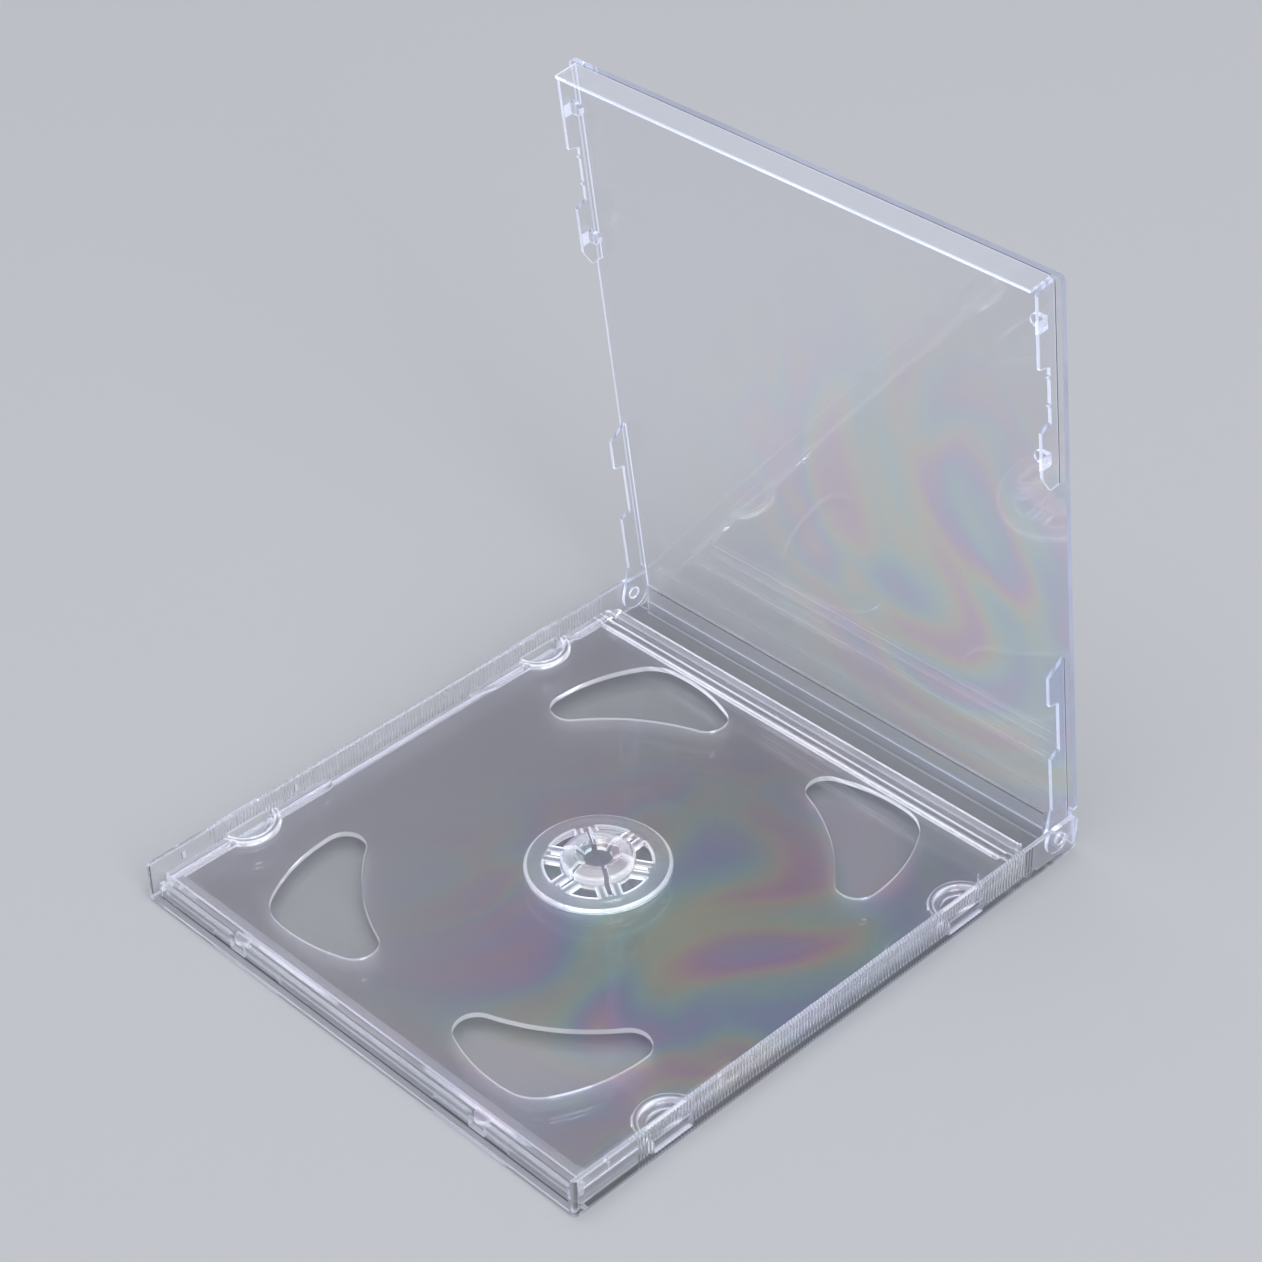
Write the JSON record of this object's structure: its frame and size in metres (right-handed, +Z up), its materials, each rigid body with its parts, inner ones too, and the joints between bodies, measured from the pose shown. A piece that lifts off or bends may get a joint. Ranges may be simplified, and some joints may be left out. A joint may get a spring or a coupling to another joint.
{
  "type": "disc jewel case",
  "caption": "Open clear plastic case for a disc: flat base with hinge ears, snap-in tray with sprung hub and finger windows, and hinged lid with booklet tabs.",
  "frame": {"origin": "middle of the base's flat underside, on the surface the case lies on", "axes": "+X along the spine to the right, +Y from the opening edge to the spine, +Z up; stored with the lid standing 83 degrees open"},
  "size_m": [0.125, 0.1428, 0.1418],
  "materials": {
    "base": "clear polystyrene, polished, fine grip grooves on the side walls",
    "disc_tray": "clear polystyrene, polished plate, frosted hub and ridges",
    "lid": "clear polystyrene, polished"
  },
  "bodies": {
    "case": {"base": "base", "disc_tray": "disc_tray"},
    "lid": {"lid": "lid"}
  },
  "joints": [
    {"name": "lid_hinge", "type": "hinge", "parent": "case", "child": "lid", "pos_m": [0, 0.066, 0.0052], "axis": [-1, 0, 0], "range_deg": [-83, 32]}
  ]
}
